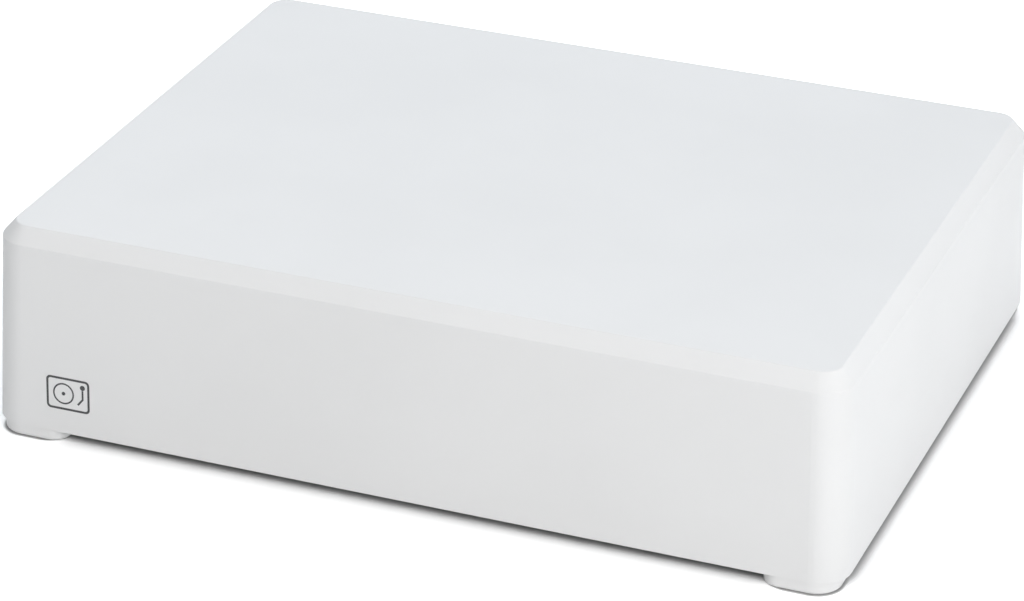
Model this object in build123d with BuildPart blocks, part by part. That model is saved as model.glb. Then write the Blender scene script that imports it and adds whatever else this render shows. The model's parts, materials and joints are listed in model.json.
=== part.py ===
from build123d import *
from math import radians, tan
import os

# A phono preamp in a moulded plastic case: the drafted cover, the base that closes it from below, the
# rear panel in its recess, and the circuit board with the row of sockets. Millimetres. +Z is up, the
# front faces -Y, and the origin is on the table under the middle of the case and its sockets.

# Case
case_width = 135.0
case_depth = 103.4
case_height = 34.0
wall_thickness = 2.0
roof_thickness = 2.0
draft_angle = 2.0
corner_radius = 5.0
chamfer_inset = 2.0
chamfer_drop = 2.4
soft_edge_radius = 0.3
inner_chamfer = 1.2

# Feet, moulded with the cover
foot_height = 1.9
foot_length = 11.2
foot_depth = 9.0
foot_side_inset = 1.0
foot_front_inset = 0.1
foot_end_radius = 2.6
foot_edge_radius = 0.45

# Base
base_thickness = 2.0
base_recess = 0.5
base_gap = 0.3
standoff_height = 4.0
standoff_radius = 3.0
sill_height = 1.0

# Rear recess and panel
window_side_inset = 13.5
window_top_drop = 3.6
window_radius = 1.5
hood_thickness = 1.6
panel_thickness = 2.0
panel_overlap = 3.0
panel_gap = 0.1
rib_thickness = 1.6

# Case screws and their bosses
boss_radius = 3.2
boss_side_inset = 8.5
boss_end_inset = 16.2
gusset_rise = 6.0
case_screw_radius = 1.5
case_screw_head_radius = 2.8
case_screw_length = 11.0
hole_gap = 0.05

# Circuit board
board_side_gap = 1.0
board_depth = 62.0
board_thickness = 1.6
board_setback = 1.0
board_corner_radius = 1.5
board_hole_inset = 5.0
board_rear_hole_inset = 17.5
board_screw_radius = 1.25
board_screw_head_radius = 2.6
board_screw_head_height = 1.7
board_screw_length = 4.5

# Phono sockets
socket_reach = 3.6
socket_pitch = 18.0
socket_end_inset = 10.0
output_spacing = 20.0
socket_axis_height = 7.8
socket_body_depth = 10.0
socket_body_margin = 5.8
socket_body_top = 5.8
nose_radius = 5.4
barrel_length = 9.0
barrel_radius = 4.15
barrel_wall = 0.35
barrel_flange_radius = 5.0
barrel_flange_thickness = 0.6
insert_setback = 0.6
insert_lip = 1.0
insert_mouth_radius = 1.9
contact_radius = 2.15
contact_bore_radius = 1.65
contact_depth = 13.6
contact_floor = 1.0
contact_shank_radius = 1.2
contact_slit = 0.5
contact_slit_length = 6.0
contact_tail_width = 1.0
contact_tail_thickness = 0.6
tail_length = 1.2
peg_radius = 0.8
socket_screw_radius = 1.25
socket_screw_head_radius = 2.4
socket_screw_head_height = 1.5
socket_screw_length = 8.0

# Ground terminal
stud_radius = 2.0
stud_reach = 8.9
stud_head_radius = 3.4
stud_head_height = 2.2
tag_thickness = 0.5
tag_width = 6.4
tag_foot_length = 7.0
lock_nut_flats = 7.0
lock_nut_height = 2.2
clamp_washer_radius = 4.0
clamp_washer_thickness = 0.8
thumb_nut_radius = 4.5
thumb_nut_height = 3.6
thumb_nut_collar_radius = 3.4
thumb_nut_collar_height = 0.9
knurl_count = 24
knurl_size = 0.5
terminal_gap = 0.1
thread_gap = 0.05

# Power socket
jack_end_inset = 10.0
jack_axis_height = 6.5
jack_body_width = 9.0
jack_body_height = 11.0
jack_body_depth = 13.5
jack_nose_radius = 4.2
jack_bore_radius = 3.1
jack_bore_depth = 11.0
jack_pin_radius = 1.0
jack_pin_shank_radius = 0.7
jack_pin_setback = 0.9
jack_tab_thickness = 0.8
jack_tab_width = 3.0
jack_leaf_width = 2.0
jack_leaf_thickness = 0.4

# Parts on the board
reservoir_radius = 5.0
reservoir_height = 16.0
coupling_radius = 3.15
coupling_height = 11.0
film_length = 7.2
film_width = 3.5
film_height = 7.5
chip_length = 4.9
chip_width = 3.9
chip_height = 1.4
chip_rise = 0.15
lead_pitch = 1.27
lead_width = 0.4
lead_thickness = 0.2
lead_reach = 1.05
regulator_radius = 2.4
regulator_flat = 1.3
regulator_height = 4.6
regulator_rise = 2.0
regulator_lead = 0.5
choke_radius = 3.5
choke_waist = 2.6
choke_height = 5.0
choke_flange = 0.8
diode_length = 4.4
diode_width = 2.6
diode_height = 2.2
transistor_length = 2.9
transistor_width = 1.3
transistor_height = 1.0
resistor_size = (3.2, 1.6, 0.6)
ceramic_size = (2.0, 1.25, 0.9)

# Levels and depths worked out from the sizes above
lean = tan(radians(draft_angle))
overall_depth = case_depth + socket_reach
case_centre_y = -socket_reach / 2
front_y = case_centre_y - case_depth / 2
rear_y = case_centre_y + case_depth / 2
tip_y = overall_depth / 2
panel_face_y = tip_y - barrel_length
panel_back_y = panel_face_y - panel_thickness
base_bottom_z = foot_height + base_recess
base_top_z = base_bottom_z + base_thickness
board_bottom_z = base_top_z + standoff_height
board_top_z = board_bottom_z + board_thickness
board_rear_y = panel_back_y - board_setback
board_centre_y = board_rear_y - board_depth / 2
roof_z = case_height - roof_thickness
window_width = case_width - 2 * window_side_inset
window_top_z = roof_z - window_top_drop
hood_bottom_z = base_top_z + base_gap
hood_top_z = window_top_z + hood_thickness
board_width = window_width - 2 * board_side_gap
jack_x = jack_end_inset - window_width / 2
input_centre_x = window_width / 2 - socket_end_inset - socket_pitch / 2
output_centre_x = jack_x + output_spacing + socket_pitch / 2
ground_x = (input_centre_x + output_centre_x) / 2
axis_z = board_top_z + socket_axis_height
jack_z = board_top_z + jack_axis_height
insert_radius = barrel_radius - barrel_wall - hole_gap
insert_face_y = tip_y - insert_setback
insert_rear_y = panel_back_y - insert_lip
contact_mouth_y = insert_face_y - insert_lip - hole_gap
contact_seat_y = contact_mouth_y - contact_depth - contact_floor
nose_hole_radius = nose_radius + 2 * panel_gap
lock_nut_face_y = panel_face_y + lock_nut_height
clamp_washer_y = lock_nut_face_y + terminal_gap
thumb_nut_y = clamp_washer_y + clamp_washer_thickness + thread_gap
boss_spacing_x = case_width - 2 * boss_side_inset
boss_spacing_y = case_depth - 2 * boss_end_inset
case_plane = Plane(origin=(0, case_centre_y, 0))
sockets = {
    "input_left": input_centre_x + socket_pitch / 2,
    "input_right": input_centre_x - socket_pitch / 2,
    "output_left": output_centre_x + socket_pitch / 2,
    "output_right": output_centre_x - socket_pitch / 2,
}
board_holes = [
    (side * (board_width / 2 - board_hole_inset), y)
    for side in (-1, 1)
    for y in (board_rear_y - board_rear_hole_inset, board_rear_y - board_depth + board_hole_inset)
]

os.makedirs("parts", exist_ok=True)


def save(piece, name):
    """Label a finished piece and write it to its own file."""
    piece.part.label = name
    export_step(piece.part, f"parts/{name}.step")


def across(y):
    """The upright plane at a depth y: X to the right, Z up, and extruding by -t goes t to the rear."""
    return Plane.XZ.offset(-y)


def case_outline(height, inset=0.0):
    """The drafted case's outline at a height, set in from its outer face."""
    step = inset + (height - foot_height) * lean
    RectangleRounded(case_width - 2 * step, case_depth - 2 * step, corner_radius - inset)


def drafted_block(top_z, inset=0.0):
    """A block with drafted walls and evenly rounded corners, from the foot height up to a level."""
    with BuildPart() as block:
        with BuildSketch(case_plane.offset(foot_height)):
            Rectangle(case_width - 2 * inset, case_depth - 2 * inset)
        extrude(amount=top_z - foot_height, taper=draft_angle)
        corners = block.edges().filter_by(Plane.XY, reverse=True)
        fillet(corners, corner_radius - inset)
    return block.part


def foot_pads(front_inset, grow=0.0, mode=Mode.ADD):
    """One rounded pad under each corner, set in from the sides and from the front and rear."""
    outer_x = case_width / 2 - foot_side_inset + grow
    inner_x = case_width / 2 - foot_side_inset - foot_length - grow
    outer_y = case_depth / 2 - front_inset + grow
    inner_y = case_depth / 2 - foot_depth - grow
    outer_radius = corner_radius - foot_side_inset + grow
    end_radius = min(foot_end_radius + grow, 0.9 * (outer_y - inner_y - outer_radius))
    radii = [outer_radius, end_radius, end_radius, end_radius]
    corners = [(outer_x, outer_y), (outer_x, inner_y), (inner_x, inner_y), (inner_x, outer_y)]
    for side in (-1, 1):
        for end in (-1, 1):
            with BuildLine() as outline:
                FilletPolyline(*[(side * x, end * y) for x, y in corners], radius=radii, close=True)
            make_face(outline.edges(), mode=mode)


def turn_on_y(profile, x, z, mode=Mode.ADD):
    """Turn a closed profile of (radius, y) points about the line along Y through x and z."""
    with BuildSketch(Plane(origin=(x, 0, z))) as section:
        with BuildLine():
            Polyline(*profile, close=True)
        make_face()
    revolve(section.sketch.faces(), axis=Axis((x, 0, z), (0, 1, 0)), mode=mode)


def turn_upright(profile, x, y, mode=Mode.ADD):
    """Turn a closed profile of (radius, height above the board) points about the upright line at x, y."""
    with BuildSketch(Plane(origin=(x, y, board_top_z), x_dir=(1, 0, 0), z_dir=(0, -1, 0))) as section:
        with BuildLine():
            Polyline(*profile, close=True)
        make_face()
    revolve(section.sketch.faces(), axis=Axis((x, y, board_top_z), (0, 0, 1)), mode=mode)


# ---- Case ----

# The cover is one moulding: roof, four drafted walls with a chamfer round the roof, and the corner feet.
with BuildPart() as top_cover:
    add(drafted_block(case_height))
    roof_face = top_cover.faces().sort_by(Axis.Z)[-1]
    chamfer(roof_face.edges(), length=chamfer_inset, length2=chamfer_drop, reference=roof_face)
    roof_face = top_cover.faces().sort_by(Axis.Z)[-1]
    shoulder_z = case_height - chamfer_drop
    shoulder = top_cover.edges().filter_by_position(Axis.Z, shoulder_z - 0.1, shoulder_z + 0.1)
    fillet(roof_face.edges() + shoulder.filter_by(Plane.XY), soft_edge_radius)
    add(drafted_block(roof_z, wall_thickness), mode=Mode.SUBTRACT)
    ceiling = top_cover.faces().filter_by(Plane.XY).sort_by(Axis.Z)[-2]
    chamfer(ceiling.edges(), length=inner_chamfer)

    # Bosses for the case screws, each tied to the side wall by a gusset
    with BuildSketch(case_plane.offset(base_top_z)):
        with GridLocations(boss_spacing_x, boss_spacing_y, 2, 2):
            Circle(boss_radius)
    extrude(amount=roof_z - base_top_z + inner_chamfer)
    gusset_length = boss_side_inset - wall_thickness
    with BuildSketch(case_plane.offset(base_top_z + gusset_rise)):
        with GridLocations(boss_spacing_x + gusset_length, boss_spacing_y, 2, 2):
            Rectangle(gusset_length, rib_thickness)
    extrude(amount=roof_z - base_top_z - gusset_rise)
    with BuildSketch(case_plane.offset(base_top_z)):
        with GridLocations(boss_spacing_x, boss_spacing_y, 2, 2):
            Circle(case_screw_radius + hole_gap)
    extrude(amount=case_screw_length, mode=Mode.SUBTRACT)

    # The hood lines the recess, and the rib in front of it makes the slot that holds the rear panel
    with BuildSketch(across(panel_face_y + panel_gap)):
        with Locations((0, hood_bottom_z)):
            Rectangle(window_width + 2 * hood_thickness, hood_top_z - hood_bottom_z,
                      align=(Align.CENTER, Align.MIN))
    extrude(amount=panel_face_y + panel_gap - rear_y + wall_thickness)
    with BuildSketch(across(panel_back_y - panel_gap - rib_thickness)):
        with Locations((0, hood_bottom_z)):
            Rectangle(case_width - 2 * wall_thickness, roof_z - base_top_z, align=(Align.CENTER, Align.MIN))
        with Locations((0, 0)):
            Rectangle(window_width + rib_thickness, window_top_z + rib_thickness / 2,
                      align=(Align.CENTER, Align.MIN), mode=Mode.SUBTRACT)
    extrude(amount=-rib_thickness)
    with BuildSketch(across(panel_face_y)):
        with Locations((0, 0)):
            Rectangle(window_width, window_top_z, align=(Align.CENTER, Align.MIN))
        fillet(vertices().group_by(Axis.Y)[-1], window_radius)
    extrude(amount=panel_face_y - rear_y - wall_thickness, mode=Mode.SUBTRACT)

    # Feet, with the blocks that stand on them inside the corners
    with BuildSketch(case_plane):
        foot_pads(foot_front_inset)
    extrude(amount=foot_height)
    with BuildSketch(case_plane.offset(foot_height)):
        foot_pads(foot_side_inset)
    extrude(amount=base_top_z - foot_height)
    fillet(top_cover.edges().group_by(Axis.Z)[0], foot_edge_radius)
save(top_cover, "top_cover")

# The base fills the cover's open bottom between the feet and carries the board on four standoffs.
with BuildPart() as base_plate:
    with BuildSketch(case_plane.offset(base_bottom_z)):
        case_outline(base_bottom_z, wall_thickness + base_gap)
        with Locations((0, case_depth / 4)):
            Rectangle(window_width - 2 * base_gap, case_depth / 2 - 2 * base_gap)
        foot_pads(foot_front_inset, grow=base_gap, mode=Mode.SUBTRACT)
    extrude(amount=base_thickness)
    sill_depth = rear_y - 2 * base_gap - panel_face_y - panel_gap
    with BuildSketch(Plane.XY.offset(base_top_z)):
        with Locations((0, panel_face_y + panel_gap + sill_depth / 2)):
            Rectangle(window_width - 2 * base_gap, sill_depth)
        with Locations((0, panel_back_y - panel_gap - rib_thickness / 2)):
            Rectangle(window_width - 2 * base_gap, rib_thickness)
    extrude(amount=sill_height)
    with BuildSketch(Plane.XY.offset(base_top_z)):
        with Locations(*board_holes):
            Circle(standoff_radius)
    extrude(amount=standoff_height)
    with Locations(*[(x, y, board_bottom_z) for x, y in board_holes]):
        Hole(board_screw_radius + hole_gap, depth=board_screw_length - board_thickness)
    with Locations(case_plane.offset(base_bottom_z)):
        with GridLocations(boss_spacing_x, boss_spacing_y, 2, 2):
            with Locations(Rotation(180, 0, 0)):
                CounterSinkHole(case_screw_radius + base_gap, case_screw_head_radius + hole_gap,
                                depth=base_thickness, counter_sink_angle=90)
save(base_plate, "base_plate")

with BuildPart() as rear_panel:
    panel_bottom_z = base_top_z + panel_gap
    with BuildSketch(across(panel_back_y)):
        with Locations((0, panel_bottom_z)):
            Rectangle(window_width + 2 * panel_overlap, hood_top_z - panel_gap - panel_bottom_z,
                      align=(Align.CENTER, Align.MIN))
        with Locations(*[(x, axis_z) for x in sockets.values()]):
            Circle(nose_hole_radius, mode=Mode.SUBTRACT)
        with Locations((input_centre_x, axis_z), (output_centre_x, axis_z)):
            Circle(socket_screw_radius + panel_gap, mode=Mode.SUBTRACT)
        with Locations((ground_x, axis_z)):
            Circle(stud_radius + panel_gap, mode=Mode.SUBTRACT)
        with Locations((jack_x, jack_z)):
            Circle(jack_nose_radius + 2 * panel_gap, mode=Mode.SUBTRACT)
    extrude(amount=-panel_thickness)
save(rear_panel, "rear_panel")

with BuildPart() as case_screws:
    with Locations(case_plane.offset(base_bottom_z)):
        with GridLocations(boss_spacing_x, boss_spacing_y, 2, 2):
            Cylinder(case_screw_radius, case_screw_length, align=(Align.CENTER, Align.CENTER, Align.MIN))
            Cone(case_screw_head_radius, case_screw_radius, case_screw_head_radius - case_screw_radius,
                 align=(Align.CENTER, Align.CENTER, Align.MIN))
save(case_screws, "case_screws")

# ---- Circuit board ----

with BuildPart() as circuit_board:
    with BuildSketch(Plane.XY.offset(board_bottom_z)):
        with Locations((0, board_centre_y)):
            RectangleRounded(board_width, board_depth, board_corner_radius)
        with Locations(*board_holes):
            Circle(board_screw_radius + hole_gap, mode=Mode.SUBTRACT)
        tail_y = panel_back_y - socket_body_depth - contact_tail_thickness / 2 - hole_gap
        with Locations(*[(x, tail_y) for x in sockets.values()]):
            Circle(contact_tail_width / 2 + 2 * panel_gap, mode=Mode.SUBTRACT)
        peg_y = panel_back_y - socket_body_depth / 2
        with Locations(*[(x, peg_y) for x in sockets.values()]):
            Circle(peg_radius + hole_gap, mode=Mode.SUBTRACT)
        jack_tab_y = panel_back_y - jack_body_depth - jack_tab_thickness / 2
        with Locations((jack_x, jack_tab_y)):
            Rectangle(jack_tab_width + 2 * panel_gap, jack_tab_thickness + 2 * panel_gap, mode=Mode.SUBTRACT)
        leaf_tail_y = panel_back_y - jack_body_depth / 2
        with Locations((jack_x, leaf_tail_y)):
            Rectangle(jack_leaf_width + 2 * panel_gap, jack_leaf_thickness + 2 * panel_gap,
                      mode=Mode.SUBTRACT)
    extrude(amount=board_thickness)
save(circuit_board, "circuit_board")

with BuildPart() as board_screws:
    with BuildSketch(Plane.XY.offset(board_top_z)):
        with Locations(*board_holes):
            Circle(board_screw_head_radius)
    extrude(amount=board_screw_head_height)
    fillet(board_screws.edges().group_by(Axis.Z)[-1], board_screw_head_height / 3)
    with BuildSketch(Plane.XY.offset(board_top_z)):
        with Locations(*board_holes):
            Circle(board_screw_radius)
    extrude(amount=-board_screw_length)
save(board_screws, "board_screws")

# ---- Phono sockets: a moulded body for each pair, then a shell, an insert and a contact for each ----

for pair, centre_x in (("input", input_centre_x), ("output", output_centre_x)):
    pair_x = [centre_x - socket_pitch / 2, centre_x + socket_pitch / 2]
    with BuildPart() as socket_body:
        with BuildSketch(across(panel_back_y)):
            with Locations((centre_x, board_top_z)):
                Rectangle(socket_pitch + 2 * socket_body_margin, socket_axis_height + socket_body_top,
                          align=(Align.CENTER, Align.MIN))
        extrude(amount=socket_body_depth)
        top_edges = socket_body.edges().filter_by(Axis.Y).group_by(Axis.Z)[-1]
        chamfer(top_edges, length=socket_body_top / 4)
        with BuildSketch(across(panel_back_y)):
            with Locations(*[(x, axis_z) for x in pair_x]):
                Circle(nose_radius)
        extrude(amount=-panel_thickness)
        with BuildSketch(Plane.XY.offset(board_top_z)):
            with Locations(*[(x, peg_y) for x in pair_x]):
                Circle(peg_radius)
        extrude(amount=-board_thickness)
        with BuildSketch(across(panel_face_y)):
            with Locations(*[(x, axis_z) for x in pair_x]):
                Circle(insert_radius + hole_gap)
        extrude(amount=panel_thickness + insert_lip, mode=Mode.SUBTRACT)
        with BuildSketch(across(panel_back_y)):
            with Locations(*[(x, axis_z) for x in pair_x]):
                Circle(contact_radius + hole_gap)
        extrude(amount=panel_back_y - contact_seat_y + hole_gap, mode=Mode.SUBTRACT)
        with BuildSketch(across(panel_back_y)):
            with Locations(*[(x, axis_z) for x in pair_x]):
                Circle(contact_shank_radius + hole_gap)
        extrude(amount=socket_body_depth, mode=Mode.SUBTRACT)
        with BuildSketch(across(panel_back_y)):
            with Locations((centre_x, axis_z)):
                Circle(socket_screw_radius + hole_gap)
        extrude(amount=socket_screw_length - panel_thickness, mode=Mode.SUBTRACT)
    save(socket_body, f"{pair}_socket_body")

for name, socket_x in sockets.items():
    with BuildPart() as barrel:
        bore = barrel_radius - barrel_wall
        edge = barrel_wall / 2
        turn_on_y(
            [
                (bore, panel_face_y),
                (barrel_flange_radius, panel_face_y),
                (barrel_flange_radius, panel_face_y + barrel_flange_thickness),
                (barrel_radius, panel_face_y + barrel_flange_thickness),
                (barrel_radius, tip_y - edge),
                (barrel_radius - edge, tip_y),
                (bore, tip_y),
            ],
            socket_x, axis_z,
        )
    save(barrel, f"{name}_barrel")

    with BuildPart() as insert:
        pocket = contact_radius + hole_gap
        turn_on_y(
            [
                (pocket, insert_rear_y),
                (insert_radius, insert_rear_y),
                (insert_radius, insert_face_y),
                (insert_mouth_radius, insert_face_y),
                (insert_mouth_radius, insert_face_y - insert_lip),
                (pocket, insert_face_y - insert_lip),
            ],
            socket_x, axis_z,
        )
    save(insert, f"{name}_insert")

    with BuildPart() as contact:
        shank_rear_y = panel_back_y - socket_body_depth - contact_tail_thickness
        turn_on_y(
            [
                (0, shank_rear_y),
                (contact_shank_radius, shank_rear_y),
                (contact_shank_radius, contact_seat_y),
                (contact_radius, contact_seat_y),
                (contact_radius, contact_mouth_y),
                (contact_bore_radius, contact_mouth_y),
                (contact_bore_radius, contact_mouth_y - contact_depth),
                (0, contact_mouth_y - contact_depth),
            ],
            socket_x, axis_z,
        )
        with BuildSketch(across(contact_mouth_y)):
            with Locations((socket_x, axis_z)):
                Rectangle(2 * contact_radius + 2 * hole_gap, contact_slit)
        extrude(amount=contact_slit_length, mode=Mode.SUBTRACT)
        with BuildSketch(across(shank_rear_y)):
            with Locations((socket_x, axis_z)):
                Rectangle(contact_tail_width, axis_z - board_bottom_z + tail_length,
                          align=(Align.CENTER, Align.MAX))
        extrude(amount=hole_gap - contact_tail_thickness)
    save(contact, f"{name}_contact")

with BuildPart() as socket_screws:
    for centre_x in (input_centre_x, output_centre_x):
        turn_on_y(
            [
                (0, panel_face_y - socket_screw_length),
                (socket_screw_radius, panel_face_y - socket_screw_length),
                (socket_screw_radius, panel_face_y),
                (socket_screw_head_radius, panel_face_y),
                (socket_screw_head_radius, panel_face_y + socket_screw_head_height / 2),
                (socket_screw_head_radius / 2, panel_face_y + socket_screw_head_height),
                (0, panel_face_y + socket_screw_head_height),
            ],
            centre_x, axis_z,
        )
save(socket_screws, "socket_screws")

# ---- Ground terminal ----

with BuildPart() as ground_stud:
    head_y = panel_back_y - tag_thickness
    stud_end_y = panel_face_y + stud_reach
    turn_on_y(
        [
            (0, head_y - stud_head_height),
            (stud_head_radius * 0.8, head_y - stud_head_height),
            (stud_head_radius, head_y - stud_head_height / 2),
            (stud_head_radius, head_y),
            (stud_radius, head_y),
            (stud_radius, stud_end_y - stud_radius / 4),
            (stud_radius * 0.75, stud_end_y),
            (0, stud_end_y),
        ],
        ground_x, axis_z,
    )
save(ground_stud, "ground_stud")

# A brass strip under the stud's head runs down the panel and turns onto the board.
with BuildPart() as ground_tag:
    with BuildSketch(across(panel_back_y)):
        with Locations((ground_x, board_top_z)):
            Rectangle(tag_width, axis_z - board_top_z, align=(Align.CENTER, Align.MIN))
        with Locations((ground_x, axis_z)):
            Circle(tag_width / 2)
            Circle(stud_radius + hole_gap, mode=Mode.SUBTRACT)
    extrude(amount=tag_thickness)
    with BuildSketch(Plane.XY.offset(board_top_z)):
        with Locations((ground_x, panel_back_y)):
            Rectangle(tag_width, tag_foot_length, align=(Align.CENTER, Align.MAX))
    extrude(amount=tag_thickness)
save(ground_tag, "ground_tag")

with BuildPart() as ground_lock_nut:
    with BuildSketch(across(panel_face_y)):
        with Locations((ground_x, axis_z)):
            RegularPolygon(lock_nut_flats / 2, 6, major_radius=False)
            Circle(stud_radius + thread_gap, mode=Mode.SUBTRACT)
    extrude(amount=-lock_nut_height)
save(ground_lock_nut, "ground_lock_nut")

with BuildPart() as ground_clamp_washer:
    with BuildSketch(across(clamp_washer_y)):
        with Locations((ground_x, axis_z)):
            Circle(clamp_washer_radius)
            Circle(stud_radius + thread_gap, mode=Mode.SUBTRACT)
    extrude(amount=-clamp_washer_thickness)
save(ground_clamp_washer, "ground_clamp_washer")

with BuildPart() as ground_thumb_nut:
    with BuildSketch(across(thumb_nut_y)):
        with Locations((ground_x, axis_z)):
            Circle(thumb_nut_collar_radius)
    extrude(amount=-thumb_nut_collar_height)
    with BuildSketch(across(thumb_nut_y + thumb_nut_collar_height)):
        with Locations((ground_x, axis_z)):
            Circle(thumb_nut_radius)
            with PolarLocations(thumb_nut_radius, knurl_count):
                Rectangle(knurl_size, knurl_size, rotation=45, mode=Mode.SUBTRACT)
    extrude(amount=thumb_nut_collar_height - thumb_nut_height)
    with BuildSketch(across(thumb_nut_y)):
        with Locations((ground_x, axis_z)):
            Circle(stud_radius + thread_gap)
    extrude(amount=-thumb_nut_height, mode=Mode.SUBTRACT)
save(ground_thumb_nut, "ground_thumb_nut")

# ---- Power socket ----

with BuildPart() as power_socket_body:
    with BuildSketch(across(panel_back_y)):
        with Locations((jack_x, board_top_z)):
            Rectangle(jack_body_width, jack_body_height, align=(Align.CENTER, Align.MIN))
    extrude(amount=jack_body_depth)
    with BuildSketch(across(panel_back_y)):
        with Locations((jack_x, jack_z)):
            Circle(jack_nose_radius)
    extrude(amount=-panel_thickness)
    with BuildSketch(across(panel_face_y)):
        with Locations((jack_x, jack_z)):
            Circle(jack_bore_radius)
    extrude(amount=jack_bore_depth, mode=Mode.SUBTRACT)
    with BuildSketch(across(panel_back_y)):
        with Locations((jack_x, jack_z)):
            Circle(jack_pin_shank_radius + hole_gap)
    extrude(amount=jack_body_depth, mode=Mode.SUBTRACT)
    # The slot for the leaf under the bore, with a way down to the board
    leaf_top_z = jack_z - jack_bore_radius - hole_gap
    leaf_front_y = panel_back_y - 1
    leaf_length = jack_bore_depth - panel_thickness - 2
    with BuildSketch(Plane.XY.offset(leaf_top_z - jack_leaf_thickness - hole_gap)):
        with Locations((jack_x, leaf_front_y)):
            Rectangle(jack_leaf_width + 2 * hole_gap, leaf_length, align=(Align.CENTER, Align.MAX))
    extrude(amount=jack_leaf_thickness + jack_bore_radius / 3, mode=Mode.SUBTRACT)
    with BuildSketch(Plane.XY.offset(board_top_z)):
        with Locations((jack_x, leaf_tail_y)):
            Rectangle(jack_leaf_width + 2 * hole_gap, jack_leaf_thickness + 2 * hole_gap)
    extrude(amount=leaf_top_z - board_top_z, mode=Mode.SUBTRACT)
save(power_socket_body, "power_socket_body")

with BuildPart() as power_socket_pin:
    pin_rear_y = panel_back_y - jack_body_depth - jack_tab_thickness
    pin_tip_y = panel_face_y - jack_pin_setback
    turn_on_y(
        [
            (0, pin_rear_y),
            (jack_pin_shank_radius, pin_rear_y),
            (jack_pin_shank_radius, panel_face_y - jack_bore_depth),
            (jack_pin_radius, panel_face_y - jack_bore_depth),
            (jack_pin_radius, pin_tip_y - jack_pin_radius / 2),
            (jack_pin_radius / 2, pin_tip_y),
            (0, pin_tip_y),
        ],
        jack_x, jack_z,
    )
save(power_socket_pin, "power_socket_pin")

# Two terminals: the tab that holds the pin at the rear, and the leaf that touches the plug's sleeve.
with BuildPart() as power_socket_terminals:
    with BuildSketch(across(pin_rear_y)):
        with Locations((jack_x, board_bottom_z - tail_length)):
            Rectangle(jack_tab_width, jack_z + jack_tab_width / 2 - board_bottom_z + tail_length,
                      align=(Align.CENTER, Align.MIN))
        with Locations((jack_x, jack_z)):
            Circle(jack_pin_shank_radius + hole_gap, mode=Mode.SUBTRACT)
    extrude(amount=-jack_tab_thickness)
    with BuildSketch(Plane.XY.offset(leaf_top_z)):
        with Locations((jack_x, leaf_front_y - hole_gap)):
            Rectangle(jack_leaf_width, leaf_length - 2 * hole_gap, align=(Align.CENTER, Align.MAX))
    extrude(amount=-jack_leaf_thickness)
    with BuildSketch(Plane.XY.offset(leaf_top_z)):
        with Locations((jack_x, leaf_tail_y)):
            Rectangle(jack_leaf_width, jack_leaf_thickness)
    extrude(amount=board_bottom_z - tail_length - leaf_top_z)
save(power_socket_terminals, "power_socket_terminals")

# ---- Parts on the board ----


def can_profile(radius, height):
    """Half the section of an electrolytic capacitor: the crimp near its foot and the rolled top edge."""
    crimp = radius / 10
    return [
        (0, 0), (radius, 0), (radius, 2 * crimp), (radius - crimp, 3 * crimp), (radius, 4 * crimp),
        (radius, height - crimp), (radius - crimp, height), (radius - 2 * crimp, height),
        (radius - 2 * crimp, height - crimp), (0, height - crimp),
    ]


def chips(size, spots):
    """Small blocks on the board, each turned to lie along X or along Y."""
    length, width, height = size
    for x, y, turned in spots:
        with Locations(Location((x, y, board_top_z), (0, 0, 90 if turned else 0))):
            Box(length, width, height, align=(Align.CENTER, Align.CENTER, Align.MIN))


supply_y = board_rear_y - socket_body_depth - jack_body_depth
amp_y = board_centre_y - 2 * chip_width

with BuildPart() as reservoir_capacitors:
    for step in (0, 1):
        spot_y = supply_y - reservoir_radius - step * 2.2 * reservoir_radius
        turn_upright(can_profile(reservoir_radius, reservoir_height), jack_x + 2 * reservoir_radius, spot_y)
save(reservoir_capacitors, "reservoir_capacitors")

with BuildPart() as coupling_capacitors:
    for centre_x in (input_centre_x, output_centre_x):
        for side in (-1, 1):
            spot = (centre_x + side * 1.5 * coupling_radius, board_rear_y - socket_body_depth - 2 * coupling_radius)
            turn_upright(can_profile(coupling_radius, coupling_height), *spot)
save(coupling_capacitors, "coupling_capacitors")

with BuildPart() as film_capacitors:
    with BuildSketch(Plane.XY.offset(board_top_z)):
        for centre_x in (input_centre_x, output_centre_x):
            with Locations((centre_x, board_centre_y + film_length / 2)):
                with GridLocations(film_length + film_width, 2 * film_width, 2, 2):
                    Rectangle(film_length, film_width)
    extrude(amount=film_height)
    fillet(film_capacitors.edges().group_by(Axis.Z)[-1], film_width / 8)
save(film_capacitors, "film_capacitors")

for name, amp_x in (("input_op_amp", input_centre_x), ("output_op_amp", output_centre_x)):
    with BuildPart() as op_amp:
        with BuildSketch(Plane.XY.offset(board_top_z + chip_rise)):
            with Locations((amp_x, amp_y)):
                Rectangle(chip_length, chip_width)
        extrude(amount=chip_height)
        chamfer(op_amp.edges().group_by(Axis.Z)[-1], length=chip_height / 6)
        for side in (-1, 1):
            for place in range(4):
                lead_x = amp_x + (place - 1.5) * lead_pitch - lead_width / 2
                shoulder = amp_y + side * chip_width / 2
                knee = shoulder + side * lead_reach / 2
                toe = shoulder + side * lead_reach
                mid_z = board_top_z + chip_rise + chip_height / 2
                with BuildSketch(Plane.YZ.offset(lead_x)):
                    with BuildLine():
                        Polyline(
                            (shoulder - side * lead_thickness, mid_z),
                            (knee, mid_z),
                            (knee, board_top_z),
                            (toe, board_top_z),
                            (toe, board_top_z + lead_thickness),
                            (knee + side * lead_thickness, board_top_z + lead_thickness),
                            (knee + side * lead_thickness, mid_z + lead_thickness),
                            (shoulder - side * lead_thickness, mid_z + lead_thickness),
                            close=True,
                        )
                    make_face()
                extrude(amount=lead_width)
    save(op_amp, name)

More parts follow.
